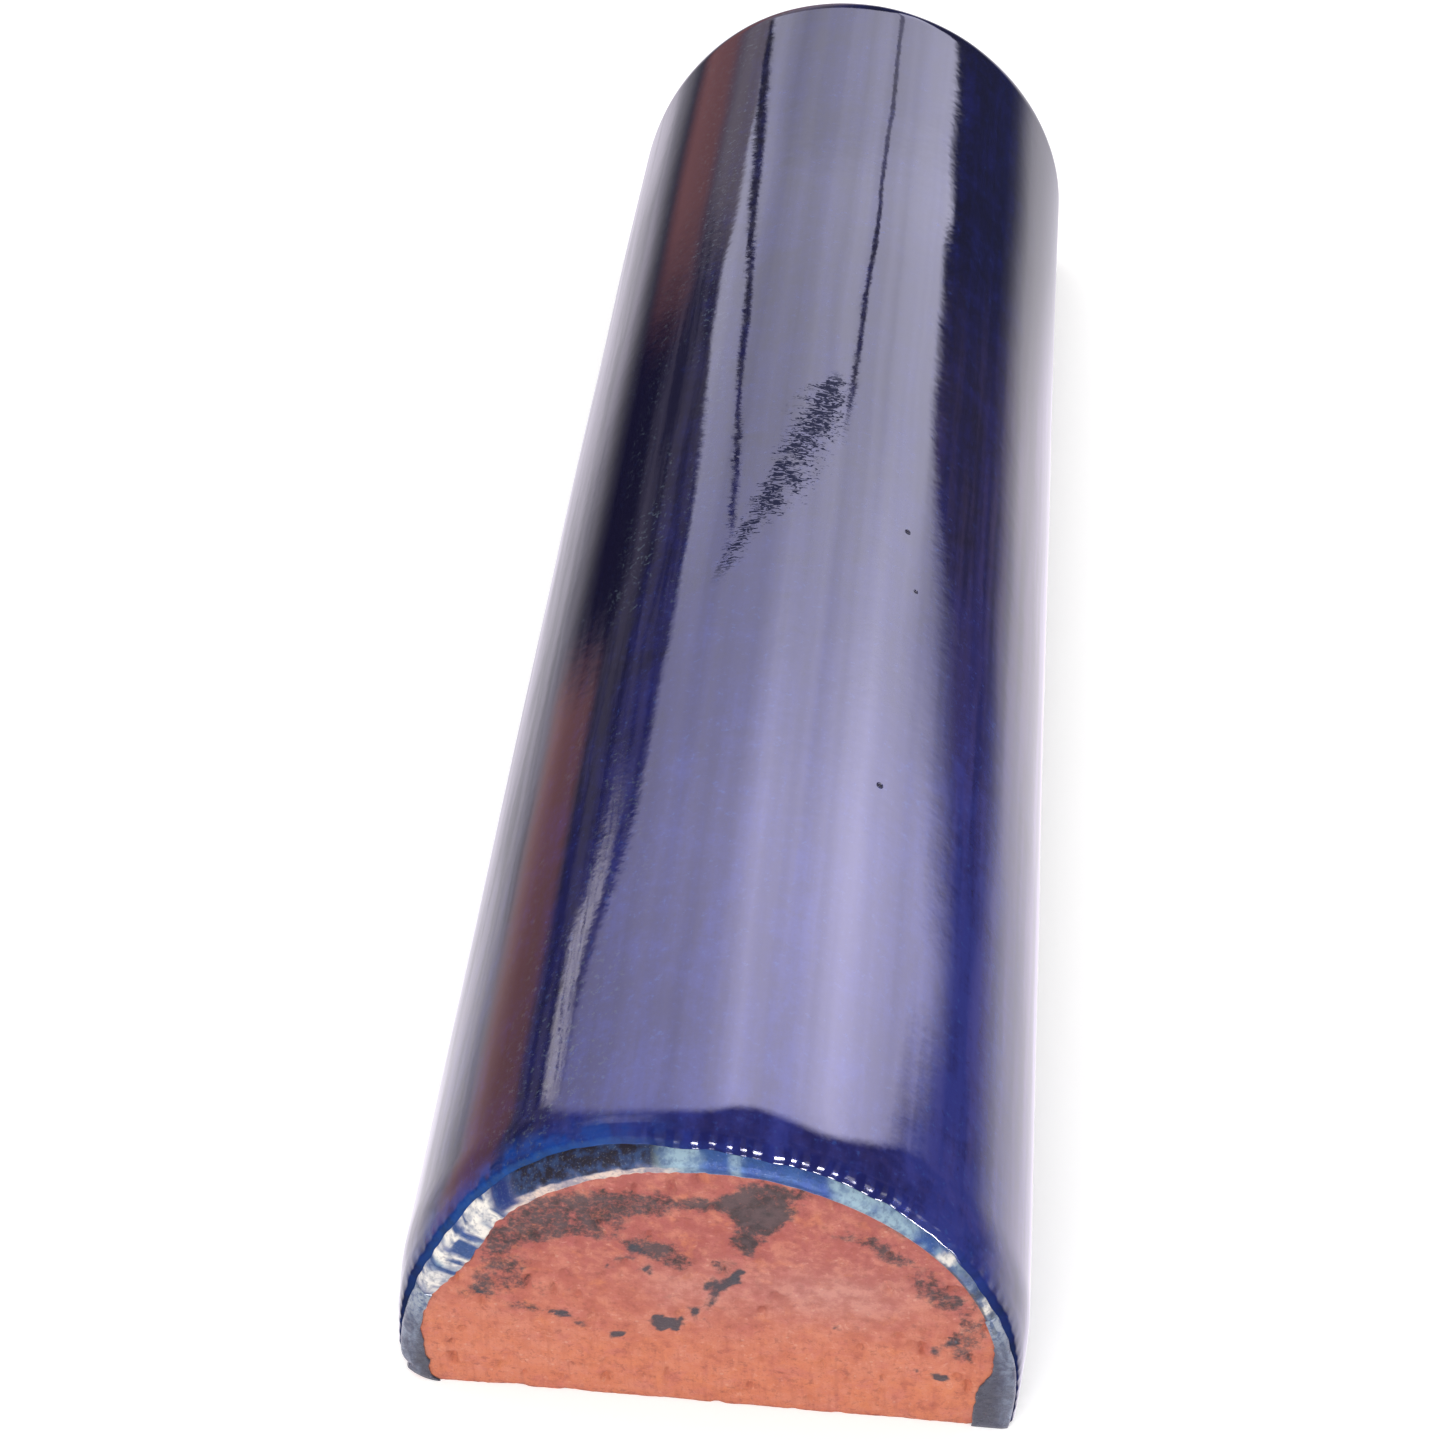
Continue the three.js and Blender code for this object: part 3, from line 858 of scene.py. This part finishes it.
def coat_material():
    material, position, colour = start_material("light_base_coat_satin")
    fine = position.noise(scale=2.6, detail=4.0, rough=0.65)
    speck = position.noise(scale=6.5, detail=2.0, rough=0.6)
    coarse = position.noise(scale=1.1, detail=3.0, rough=0.6)
    # where each shade lies, how far it takes over the paint, and the shade
    for share, strength, shade in (
            (coarse.fade(0.44, 0.66, 0.0, 0.8), 0.7, (0.030, 0.075, 0.21)),
            (fine.fade(0.48, 0.70, 0.0, 0.8), 0.6, (0.020, 0.045, 0.13)),
            (speck.fade(0.58, 0.70, 0.0, 0.22), 0.4, (0.62, 0.62, 0.60))):
        colour = mix(share, colour, mix(strength, colour, shade))
    height = position.noise(scale=1.6, detail=3.0, rough=0.6) + speck * 0.3
    return finish_material(material, {
        "Base Color": colour,
        "Roughness": fine.ramp(0.3, 0.7, 0.42, 0.62),
        "IOR": 1.45,
        "Specular IOR Level": 0.28,
        "Normal": height.bump(distance=0.00006)})


def pool_material():
    material, position, paint = start_material("pooled_glaze_gloss")
    inwards, _, free = paint.split("ShaderNodeSeparateColor")[:3]
    cloud = position.scaled(1.0, 1.0, 0.45).noise(
        scale=0.9, detail=4.0, rough=0.65, distortion=0.6)
    fine = position.noise(scale=3.0, detail=3.0, rough=0.6)
    coarse = position.noise(scale=0.55, detail=3.0, rough=0.6)
    low = free.fade(0.45, 1.05)         # towards the foot
    inner_edge = (inwards + ((coarse - 0.5) * 0.5 + low * 0.12)).fade(0.64, 0.86)
    upper = (free + (cloud - 0.5) * 0.5).fade(0.42, 0.12)
    upper_tone = mix(fine.fade(0.42, 0.62), (0.26, 0.30, 0.35), (0.06, 0.10, 0.20))
    body = mix(cloud.fade(0.38, 0.60), (0.044, 0.056, 0.104), (0.160, 0.196, 0.272))
    body = lay_over(body, (
        (fine.fade(0.50, 0.66) * 0.6, (0.022, 0.030, 0.070)),
        (fine.fade(0.44, 0.30) * 0.35, (0.200, 0.215, 0.240)),
        (inner_edge * low.ramp(0.0, 1.0, 0.35, 0.85), (0.012, 0.013, 0.024)),
        (low * coarse.fade(0.60, 0.42, 0.1, 0.6), (0.026, 0.028, 0.050)),
        (upper, upper_tone)))
    return finish_material(material, {
        "Base Color": body,
        "Roughness": fine.ramp(0.3, 0.7, 0.20, 0.42),
        "IOR": 1.58,
        "Normal": position.noise(scale=1.3).bump(distance=0.00005)})


def clay_material():
    material, position, paint = start_material("bare_terracotta")
    stain, spot, pale = paint.split("ShaderNodeSeparateColor")[:3]
    height = position.split()[2]
    big = position.noise(scale=0.16, detail=4.0, rough=0.6)
    middle = position.noise(scale=0.7, detail=5.0, rough=0.68)
    blot = position.noise(scale=1.6, detail=4.0, rough=0.7, distortion=0.3)
    small_blot = position.noise(scale=2.4, detail=4.0, rough=0.75, distortion=0.2)
    fine = position.noise(scale=4.0, detail=3.0, rough=0.7)
    sand = position.noise(scale=9.0, detail=2.0, rough=0.6)
    upright = position.scaled(2.0, 1.0, 0.25).noise(scale=1.0, detail=3.0, rough=0.6)
    patchy = position.noise(scale=0.55, detail=4.0, rough=0.7, distortion=0.4)
    # scattered light grit
    grit = add_node(material.node_tree, "ShaderNodeTexVoronoi",
                    {"Scale": 1.25, "Vector": position}, "Distance", feature="F1")
    grit = grit.fade(0.22, 0.10) * position.noise(scale=0.7).fade(0.54, 0.60)
    # ragged edges for the painted stains and spots
    ragged = (small_blot - 0.5) * 1.9 + (middle - 0.5) * 0.6
    stained = (stain + ragged).fade(0.10, 0.88) * stain.fade(0.02, 0.40)
    spotted = (spot + ragged * 0.5).fade(0.20, 0.80) * spot.fade(0.05, 0.35)
    pale_tone = mix(middle.fade(0.40, 0.62), (0.420, 0.190, 0.165), (0.560, 0.300, 0.265))
    stain_tone = mix(middle.fade(0.36, 0.64), (0.028, 0.035, 0.040), (0.080, 0.066, 0.074))

    # orange near the ground, redder towards the crown; the upper part is also painted darker, as
    # painted shade, and the lower part lighter, as painted light from the floor
    up = (height + (big - 0.5) * 14.0).fade(3.0, 19.0)
    body = lay_over(mix(up, (0.570, 0.190, 0.110), (0.375, 0.110, 0.098)), (
        (patchy.fade(0.50, 0.66) * 0.45, (0.480, 0.150, 0.140)),
        (patchy.fade(0.46, 0.32) * 0.40, (0.640, 0.230, 0.100)),
        (middle.fade(0.44, 0.66) * 0.55, (0.600, 0.240, 0.165)),
        (middle.fade(0.46, 0.30) * 0.5, (0.320, 0.085, 0.062)),
        (upright.fade(0.48, 0.70) * 0.35, (0.380, 0.110, 0.075)),
        (blot.fade(0.54, 0.70) * 0.55, (0.250, 0.075, 0.062)),
        (blot.fade(0.42, 0.28) * 0.45, (0.660, 0.330, 0.250)),
        (fine.fade(0.54, 0.74) * 0.5, (0.280, 0.085, 0.066)),
        (pale * 0.55, pale_tone),
        (grit * 0.22, (0.74, 0.50, 0.40)),
        (stained * 0.93, stain_tone),
        (spotted * 0.92, (0.034, 0.044, 0.058))))
    relief = (fine * 0.8 + sand * 0.5) + grit * 0.3
    return finish_material(material, {
        "Base Color": body,
        "Roughness": 0.86 - spot * 0.35,
        "IOR": 1.45,
        "Specular IOR Level": 0.25,
        "Normal": relief.bump(distance=0.00009)})


# ------------------------------------------------------------------- stage --
def build_floor(half_size=3.0, drop=0.00003):
    """A pale floor (metres), out of the glaze's reflections: those come from the world."""
    r = half_size
    mesh = bpy.data.meshes.new("floor")
    mesh.from_pydata([(-r, -r, 0), (r, -r, 0), (r, r, 0), (-r, r, 0)], [], [(0, 1, 2, 3)])
    floor = bpy.data.objects.new("floor", mesh)
    floor.location.z = -drop
    bpy.context.scene.collection.objects.link(floor)
    material = bpy.data.materials.new("pale_floor")
    tree = empty_tree(material)
    diffuse = add_node(tree, "ShaderNodeBsdfDiffuse", {"Color": (0.93, 0.93, 0.93)})
    seen = add_node(tree, "ShaderNodeLightPath", output="Is Camera Ray")
    glow = add_node(tree, "ShaderNodeEmission", {"Strength": seen * 0.24})
    both = add_node(tree, "ShaderNodeAddShader", {0: diffuse, 1: glow})
    add_node(tree, "ShaderNodeOutputMaterial", {0: both})
    floor.data.materials.append(material)
    floor.visible_glossy = False


# The gloss of the glaze sees soft panels, placed by two angles of the reflected ray, in degrees:
# turn, about the bar's length from straight up towards +X, and tip, towards the far end.
DEGREES = 57.29578


def vector(tree, parts):
    return add_node(tree, "ShaderNodeCombineXYZ", parts)


def scale_colour(tree, colour, level):
    return add_node(tree, "ShaderNodeVectorMath", {0: colour, "Scale": level},
                    operation="SCALE")


def panel_outline(turn, tip, jitter):
    """1 inside the overhead panel, 0 outside, with soft wavering edges."""
    right = tip.curve(40, 90, (
        (10, 82), (34, 82), (38, 82), (39.7, 84), (41.5, 83), (43, 79), (45, 75), (47.5, 70),
        (50, 66), (52, 64), (54.6, 61.5), (55.8, 61), (56.1, 66), (58, 62), (60, 58), (64, 50)))
    right_soft = tip.curve(0, 20, (
        (10, 6), (38, 7), (43, 11), (47.5, 17), (50, 8), (52, 4), (55, 2.5), (64, 2.5)))
    left = tip.curve(-80, -40, (
        (10, -70), (34, -70), (38, -66), (41, -60), (43, -53), (47, -50), (50, -50.5),
        (53, -57), (55, -59), (57, -56), (60, -58), (64, -58)))
    low = turn.curve(0, 45, (
        (-75, 36), (-59, 29), (-41, 23), (-22, 21), (-5, 22), (6, 28), (14, 29.5), (24, 27),
        (36, 23), (44, 24.5), (52, 28), (60, 32), (69, 37), (82, 38.5), (95, 40)))
    high = turn.curve(55, 85, (
        (-90, 63.5), (10, 63.5), (20, 66), (32, 73), (52, 76), (66, 70), (90, 66)))
    in_right = ((right - (turn + jitter * 0.5)) / right_soft).fade(-1.0, 1.0)
    in_left = ((turn + jitter * 0.8) - left).fade(-1.6, 2.2)
    in_low = ((tip + jitter * 0.8) - low).fade(-3.0, 4.0)
    return (in_right * in_left) * (in_low * (tip - high).fade(1.0, -1.0))


def panel_bars(turn, tip):
    """Two thin dark bars across the panel, wavering and knotty."""
    tree = turn.tree
    left_line = tip.curve(-70, 0, (
        (46, -24), (49.2, -27.3), (51.8, -35), (54.5, -40.3), (56.7, -47.3), (58.3, -51.8),
        (60.3, -58.8), (64, -66)))
    right_line = tip.curve(0, 40, (
        (50, 18), (52.5, 21.5), (53.8, 24), (55.7, 25.7), (58.5, 25.5), (64, 27)))
    wobble = vector(tree, {1: tip * 2.2}).noise(scale=1.0, detail=4.0, rough=0.7)
    wobble = (wobble - 0.5) * 4.0
    knots = vector(tree, {2: tip * 1.6}).noise(scale=1.0, detail=3.0, rough=0.7)
    width = tip.curve(0, 5, ((48, 1.1), (52, 1.4), (56, 2.4), (58.5, 3.5), (60.5, 4.4)))
    width = width * knots.fade(0.35, 0.68, 0.65, 1.7)
    left = math_node("ABSOLUTE", (turn + wobble) - left_line) / width
    left = left.fade(1.25, 0.65) * tip.fade(48.9, 49.5)
    right = math_node("ABSOLUTE", (turn + wobble * 0.5) - right_line)
    right = right.fade(1.7, 0.7) * (tip.fade(51.8, 52.4) * tip.fade(55.0, 60.0, 1.0, 0.7))
    return math_node("MAXIMUM", left, right)


def panel_light(turn, tip):
    """Colour of the overhead panel."""
    tree = turn.tree
    level = tip.curve(0, 8, (
        (0, 3.6), (20, 4.0), (30, 4.5), (38.2, 4.7), (41.5, 4.9), (43.3, 4.8), (45.3, 4.1),
        (47.5, 3.5), (49.8, 3.1), (52, 2.75), (54.6, 2.6), (56.8, 2.65), (58.5, 2.2),
        (60.5, 2.0), (64, 1.9)))
    near_shape = turn.curve(0, 2, (
        (-75, 0.28), (-57, 0.31), (-44, 0.42), (-31, 0.48), (-18, 0.53), (-6, 0.66), (5, 1.02),
        (11, 0.98), (17, 0.86), (27, 0.90), (34, 1.10), (40, 1.32), (46, 1.16), (51, 0.98),
        (63, 0.76), (76, 0.60), (90, 0.55)))
    far_shape = turn.curve(0, 2, (
        (-75, 0.7), (-54, 0.84), (-44, 0.76), (-30, 0.62), (-18, 0.72), (-6, 0.84), (5, 1.0),
        (18, 1.06), (29, 1.00), (40, 1.06), (51, 1.16), (66, 1.2), (90, 1.2)))
    far = tip.fade(43.0, 54.0)
    level = level * (far_shape * far + near_shape * (1.0 - far))
    cloud = vector(tree, {0: turn * 0.12, 1: tip * 0.03}).noise(
        scale=1.0, detail=3.0, rough=0.55)
    level = level * (1.0 + (cloud - 0.5) * 0.45)
    level = level * (1.0 - panel_bars(turn, tip) * 0.97)
    tint = mix(tip.fade(40.0, 52.0), (1.07, 1.01, 1.42), (1.08, 1.06, 1.40))
    return scale_colour(tree, tint, level)


def surroundings(turn, tip, angles, jitter):
    """What the gloss sees outside the panel."""
    # nearly dark on the right, dim and brownish in parts on the left
    patches = angles.noise(scale=0.16, detail=4.0, rough=0.65).fade(0.42, 0.62)
    left = mix(patches, (0.28, 0.25, 0.38), (0.04, 0.04, 0.11))
    left = mix((turn.fade(-80.0, -70.0) * tip.fade(54.5, 57.0)) * 0.8, left, (0.80, 0.68, 0.80))
    far_right = mix(patches, (0.10, 0.09, 0.20), (0.26, 0.20, 0.44))
    right = mix(tip.fade(55.5, 52.0), (0.04, 0.05, 0.13), far_right)
    colour = mix(turn.fade(0.0, -50.0), right, left)
    red_near = turn.fade(-85.0, -92.0) * turn.fade(-121.0, -110.0) * tip.fade(47.0, 45.0)
    red_far = turn.fade(-72.0, -84.0) * turn.fade(-110.0, -98.0) * tip.fade(52.5, 56.5)
    black = turn.fade(-80.0, -88.0) * turn.fade(-124.0, -112.0) * tip.fade(45.5, 48.0)
    # a narrow pale strip low on the left
    strip_line = tip.curve(-90, -40, (
        (30, -66), (36, -70), (38, -71), (40, -71), (42, -66), (44, -60)))
    strip = math_node("ABSOLUTE", (turn + jitter) - strip_line).fade(5.5, 2.4)
    strip = strip * (tip.fade(44.0, 41.0) * tip.fade(34.0, 37.0))
    strip = strip * angles.noise(scale=0.9, detail=3.0, rough=0.7).fade(0.36, 0.52)
    colour = lay_over(colour, (
        (black, (0.0, 0.0, 0.03)),
        (math_node("MAXIMUM", red_near, red_far * 0.85), (0.74, 0.33, 0.31)),
        (strip, (3.0, 2.8, 3.1))))

    # the pale floor, as the sides of the bar reflect it
    floor_right = turn.curve(0, 2, (
        (98, 0.0), (104, 0.13), (108, 0.38), (113, 0.80), (119, 1.28), (126, 1.42), (150, 1.30),
        (180, 1.0)))
    floor_left = turn.curve(0, 2, (
        (-180, 0.72), (-150, 0.76), (-135, 0.78), (-128, 0.68), (-121, 0.47), (-114, 0.30),
        (-108, 0.10), (-102, 0.0)))
    floor = math_node(
        "MAXIMUM",
        floor_right * (turn.fade(96.0, 100.0) * tip.fade(51.0, 58.0, 1.0, 0.60)),
        floor_left * (turn.fade(-100.0, -103.0) * tip.fade(36.5, 44.0, 1.45, 1.0)))
    colour = mix(1.0, colour, scale_colour(turn.tree, (1.02, 0.97, 1.0), floor), "ADD")

    # a dim front, a bright window on the camera's side and a softer one beside it
    window = (tip.fade(-58.0, -63.0) * tip.fade(-80.0, -74.0)) * (
        turn.fade(-40.0, -10.0) * turn.fade(80.0, 62.0))
    window = window * turn.curve(0, 1, (
        (-30, 0.06), (-8, 0.12), (8, 0.35), (18, 1.0), (50, 1.0), (62, 0.5), (80, 0.3)))
    soft_window = (tip.fade(-22.0, -32.0) * tip.fade(-58.0, -50.0)) * (
        turn.fade(40.0, 56.0) * turn.fade(92.0, 78.0))
    return lay_over(colour, (
        (tip.fade(-30.0, -50.0), (0.30, 0.30, 0.32)),
        (window, (90.0, 86.0, 86.0)),
        (soft_window, (3.2, 3.1, 3.2))))


def build_world():
    """A plain pale studio for the camera and matt surfaces, panels for the gloss."""
    world = bpy.data.worlds.new("studio")
    bpy.context.scene.world = world
    tree = empty_tree(world)
    x, y, z = add_node(tree, "ShaderNodeTexCoord", output="Generated").split()
    turn = math_node("ARCTAN2", x, z) * DEGREES
    tip = math_node("ARCSINE", y) * DEGREES
    angles = vector(tree, {0: turn, 1: tip})
    jitter = (angles.noise(scale=0.30, detail=3.0, rough=0.6) - 0.5) * 4.0
    glossy = mix(panel_outline(turn, tip, jitter), surroundings(turn, tip, angles, jitter),
                 panel_light(turn, tip))
    reflected = add_node(tree, "ShaderNodeBackground", {"Color": glossy})
    plain = add_node(tree, "ShaderNodeBackground",
                     {"Color": (1.0, 0.99, 0.985), "Strength": 1.12})
    is_glossy = add_node(tree, "ShaderNodeLightPath", output="Is Glossy Ray")
    surround = add_node(tree, "ShaderNodeMixShader", {0: is_glossy, 1: plain, 2: reflected})
    add_node(tree, "ShaderNodeOutputWorld", {0: surround})


def build_key_light():
    """A soft light from the front left, kept out of the reflections."""
    light = bpy.data.lights.new("key", "AREA")
    light.shape = "DISK"
    light.size = 0.6
    light.energy = 2.2
    ob = bpy.data.objects.new("key", light)
    ob.location = (-0.35, -0.75, 0.55)
    aim = Vector((0, -0.05, 0.0)) - Vector(ob.location)
    ob.rotation_euler = aim.to_track_quat("-Z", "Y").to_euler()
    ob.visible_glossy = False
    bpy.context.scene.collection.objects.link(ob)


def build_camera():
    """Looks down from the near end; target and distance are in bar widths."""
    azimuth, elevation, roll = (math.radians(angle) for angle in (6.131, 43.685, -0.457))
    target = Vector((-0.1048 * WIDTH, NEAR_Y + 1.3568 * WIDTH, 0.2 * WIDTH)) * MM
    distance = 5.3176 * WIDTH * MM
    back = Vector((math.sin(azimuth) * math.cos(elevation),
                   -math.cos(azimuth) * math.cos(elevation), math.sin(elevation)))
    right = (-back).cross(Vector((0, 0, 1))).normalized()
    up = right.cross(-back)
    rolled_right = math.cos(roll) * right + math.sin(roll) * up
    rolled_up = -math.sin(roll) * right + math.cos(roll) * up
    camera = bpy.data.cameras.new("camera")
    camera.sensor_fit = "HORIZONTAL"
    camera.sensor_width = 36.0
    camera.lens = 69.959834
    camera.clip_start = 0.005
    camera.clip_end = 20.0
    ob = bpy.data.objects.new("camera", camera)
    turned = Matrix((rolled_right, rolled_up, back)).transposed().to_4x4()
    ob.matrix_world = Matrix.Translation(target + back * distance) @ turned
    bpy.context.scene.collection.objects.link(ob)
    bpy.context.scene.camera = ob


# ---------------------------------------------------------------- assembly --
glaze = build_glaze()
coat = build_base_coat()
right_pool = build_pool("right_corner_glaze_pool", 0.0, 14.5, thickness=0.40)
left_pool = build_pool("left_corner_glaze_pool", ARC_END - 12.0, ARC_END, thickness=0.42)
clay = build_clay()

cobalt = glaze_material()
satin = coat_material()
pooled = pool_material()
terracotta = clay_material()

for ob, material, node, slot in (
        (glaze, cobalt, "cobalt_glaze", "cobalt_glaze"),
        (coat, satin, "light_base_coat", "light_base_coat"),
        (left_pool, pooled, "left_corner_glaze_bead", "pooled_glaze"),
        (right_pool, pooled, "right_corner_glaze_bead", "pooled_glaze"),
        (clay, terracotta, "clay_body", "terracotta")):
    ob.data.materials.append(material)
    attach(ob, "root")
    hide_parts(node)

build_floor()
build_world()
build_key_light()
build_camera()
bpy.context.scene.view_settings.view_transform = "Standard"
bpy.context.scene.view_settings.look = "None"
